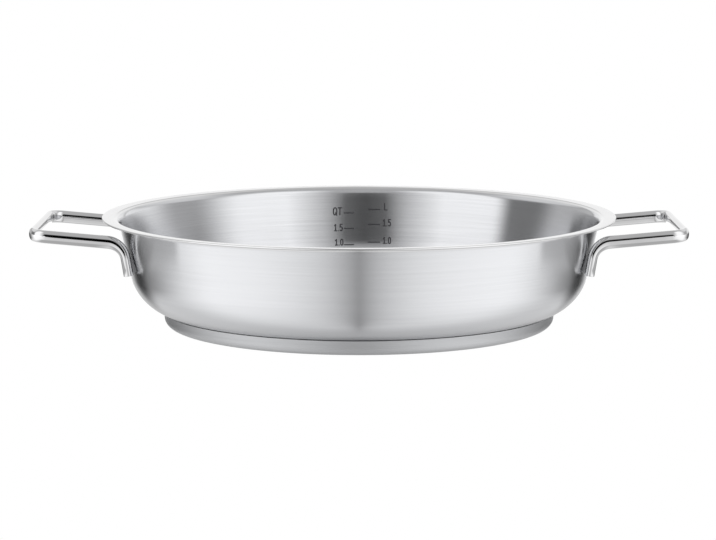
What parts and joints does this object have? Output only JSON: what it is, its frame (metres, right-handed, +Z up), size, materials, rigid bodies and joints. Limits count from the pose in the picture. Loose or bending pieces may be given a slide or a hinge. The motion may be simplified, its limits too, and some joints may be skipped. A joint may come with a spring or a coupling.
{
  "type": "serving pan",
  "caption": "Shallow round stainless serving pan with a flared pouring rim, a capsule base and two bent bar loop handles for carrying from stove to table.",
  "frame": {"origin": "centre of the base's underside, on the surface the pan stands on", "axes": "+X through the right handle, +Y to the back, +Z up"},
  "size_m": [0.3672, 0.292, 0.0624],
  "materials": {
    "brushed_shell": "circumferentially brushed stainless, polished rim",
    "core_aluminium": "plain rolled aluminium, enclosed",
    "base_steel": "satin turned stainless",
    "polished_bar": "mirror-polished stainless",
    "weld_metal": "cleaned weld"
  },
  "bodies": {
    "root": {"pan_body": "brushed_shell", "base_core": "core_aluminium", "base_cap": "base_steel", "left_handle": "polished_bar", "right_handle": "polished_bar", "left_front_weld": "weld_metal", "left_rear_weld": "weld_metal", "right_front_weld": "weld_metal", "right_rear_weld": "weld_metal"}
  },
  "joints": []
}
